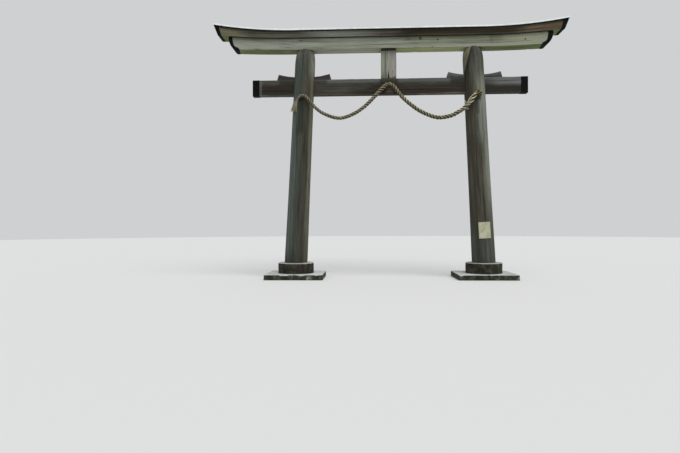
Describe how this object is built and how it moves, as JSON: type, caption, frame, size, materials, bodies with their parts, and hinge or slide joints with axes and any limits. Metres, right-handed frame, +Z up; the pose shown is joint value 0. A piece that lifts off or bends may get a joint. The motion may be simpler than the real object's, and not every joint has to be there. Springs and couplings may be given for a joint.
{
  "type": "torii gate",
  "caption": "Timber shrine gateway of leaning round pillars on drum stones, a wedged tie beam, a strut, upswept lintels under a sheet roof, and a straw rope in swags.",
  "frame": {"origin": "on the ground, midway between the two pillars and on the gate's centre plane", "axes": "+X along the lintels to the right of someone facing the front, -Y out of the front, +Z up"},
  "size_m": [10.498, 1.5, 7.738],
  "materials": {
    "slab_stone": "rough",
    "base_stone": "rough, mossy",
    "pillar_timber": "weathered",
    "beam_timber": "weathered",
    "grey_timber": "weathered",
    "brown_timber": "weathered",
    "dark_metal": "matt, tarnished",
    "roof_sheet": "satin",
    "straw": "rough straw",
    "notice_paint": "matt"
  },
  "bodies": {
    "root": {"left_slab_outer": "slab_stone", "left_slab_inner": "slab_stone", "right_slab_inner": "slab_stone", "right_slab_outer": "slab_stone", "left_base_stone": "base_stone", "right_base_stone": "base_stone", "left_pillar": "pillar_timber", "right_pillar": "pillar_timber", "tie_beam": "beam_timber", "tie_beam_left_cap": "dark_metal", "tie_beam_right_cap": "dark_metal", "left_outer_wedge": "beam_timber", "left_inner_wedge": "beam_timber", "right_inner_wedge": "beam_timber", "right_outer_wedge": "beam_timber", "centre_strut": "grey_timber", "lower_lintel": "grey_timber", "lower_lintel_left_cap": "dark_metal", "lower_lintel_right_cap": "dark_metal", "upper_lintel": "brown_timber", "upper_lintel_left_cap": "dark_metal", "upper_lintel_right_cap": "dark_metal", "roof_boarding_left": "beam_timber", "roof_boarding_middle": "beam_timber", "roof_boarding_right": "beam_timber", "roof_sheet_front": "roof_sheet", "roof_sheet_back": "roof_sheet", "ridge_cap": "roof_sheet", "roof_left_end": "roof_sheet", "roof_right_end": "roof_sheet", "left_rope_peg": "dark_metal", "centre_rope_peg": "dark_metal", "right_rope_peg": "dark_metal", "rope": "straw", "rope_knot": "straw", "rope_tail": "straw", "notice_board": "notice_paint"}
  },
  "joints": []
}
